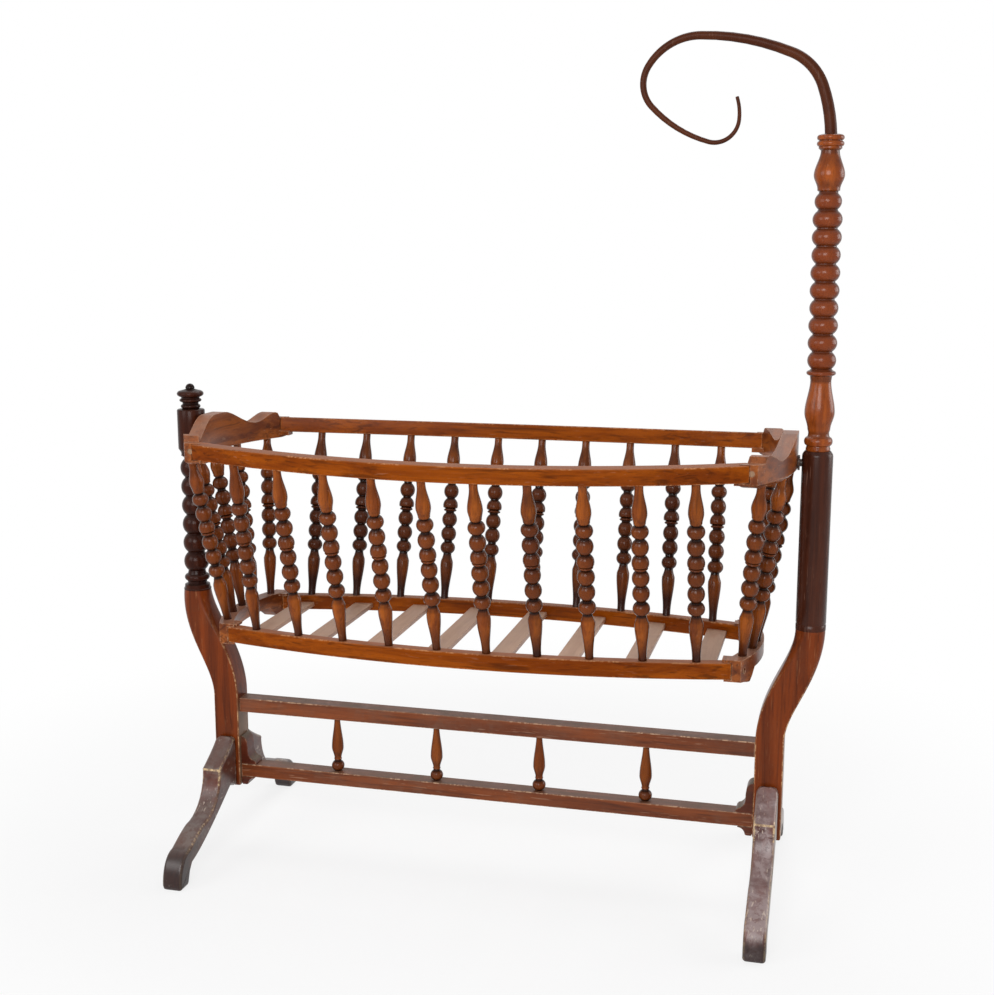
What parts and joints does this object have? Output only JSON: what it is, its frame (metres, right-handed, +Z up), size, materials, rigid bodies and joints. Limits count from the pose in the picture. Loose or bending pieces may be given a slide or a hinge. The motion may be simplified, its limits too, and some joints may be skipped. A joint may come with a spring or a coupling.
{
  "type": "swinging cradle on stand",
  "caption": "Spindle-sided wooden cradle hung on pivots between two turned posts with legs, stretchers and a tall pole with a curled canopy rod.",
  "frame": {"origin": "on the floor under the middle of the cradle, midway between the posts", "axes": "+X along the tub towards the head post with the canopy pole, +Y across the cradle towards the back, +Z up"},
  "size_m": [1.122, 0.5042, 1.3842],
  "materials": {
    "post_wood": "very dark red-brown polish, scratched, worn lighter on the bends",
    "pole_wood": "orange-brown polish, dark in the grooves",
    "rod_wood": "dull brown polish",
    "stretcher_wood": "brown polish, worn on the upper faces",
    "spindle_wood": "warm red-brown polish, dark in the grooves",
    "leg_wood": "dark brown polish, edges worn to bare wood, black feet",
    "bracket_wood": "dark red-brown polish",
    "dowel_wood": "bare beech",
    "rail_wood": "red-brown polish, lighter upper faces",
    "board_wood": "red-brown polish",
    "slat_wood": "thin pinkish-brown polish",
    "iron": "dark plain iron"
  },
  "bodies": {
    "stand": {"foot_post": "post_wood", "head_post": "post_wood", "canopy_pole": "pole_wood", "canopy_rod": "rod_wood", "upper_stretcher": "stretcher_wood", "lower_stretcher": "stretcher_wood", "stretcher_spindle_1": "spindle_wood", "stretcher_spindle_2": "spindle_wood", "stretcher_spindle_3": "spindle_wood", "stretcher_spindle_4": "spindle_wood", "foot_front_leg": "leg_wood", "foot_back_leg": "leg_wood", "head_front_leg": "leg_wood", "head_back_leg": "leg_wood", "foot_upper_bracket": "bracket_wood", "foot_lower_bracket": "bracket_wood", "head_upper_bracket": "bracket_wood", "head_lower_bracket": "bracket_wood", "leg_dowels": "dowel_wood"},
    "tub": {"front_top_rail": "rail_wood", "front_bottom_rail": "rail_wood", "back_top_rail": "rail_wood", "back_bottom_rail": "rail_wood", "foot_top_board": "board_wood", "foot_bottom_board": "board_wood", "head_top_board": "board_wood", "head_bottom_board": "board_wood", "slat_1": "slat_wood", "slat_2": "slat_wood", "slat_3": "slat_wood", "slat_4": "slat_wood", "slat_5": "slat_wood", "slat_6": "slat_wood", "slat_7": "slat_wood", "slat_8": "slat_wood", "front_spindle_1": "spindle_wood", "front_spindle_2": "spindle_wood", "front_spindle_3": "spindle_wood", "front_spindle_4": "spindle_wood", "front_spindle_5": "spindle_wood", "front_spindle_6": "spindle_wood", "front_spindle_7": "spindle_wood", "front_spindle_8": "spindle_wood", "front_spindle_9": "spindle_wood", "front_spindle_10": "spindle_wood", "back_spindle_1": "spindle_wood", "back_spindle_2": "spindle_wood", "back_spindle_3": "spindle_wood", "back_spindle_4": "spindle_wood", "back_spindle_5": "spindle_wood", "back_spindle_6": "spindle_wood", "back_spindle_7": "spindle_wood", "back_spindle_8": "spindle_wood", "back_spindle_9": "spindle_wood", "back_spindle_10": "spindle_wood", "foot_end_spindles": "spindle_wood", "head_end_spindles": "spindle_wood", "foot_pivot": "iron", "head_pivot": "iron", "frame_screws": "iron"}
  },
  "joints": [
    {"name": "tub_swing", "type": "hinge", "parent": "stand", "child": "tub", "pos_m": [0, 0, 0.726], "axis": [1, 0, 0], "range_deg": [-40, 40]}
  ]
}
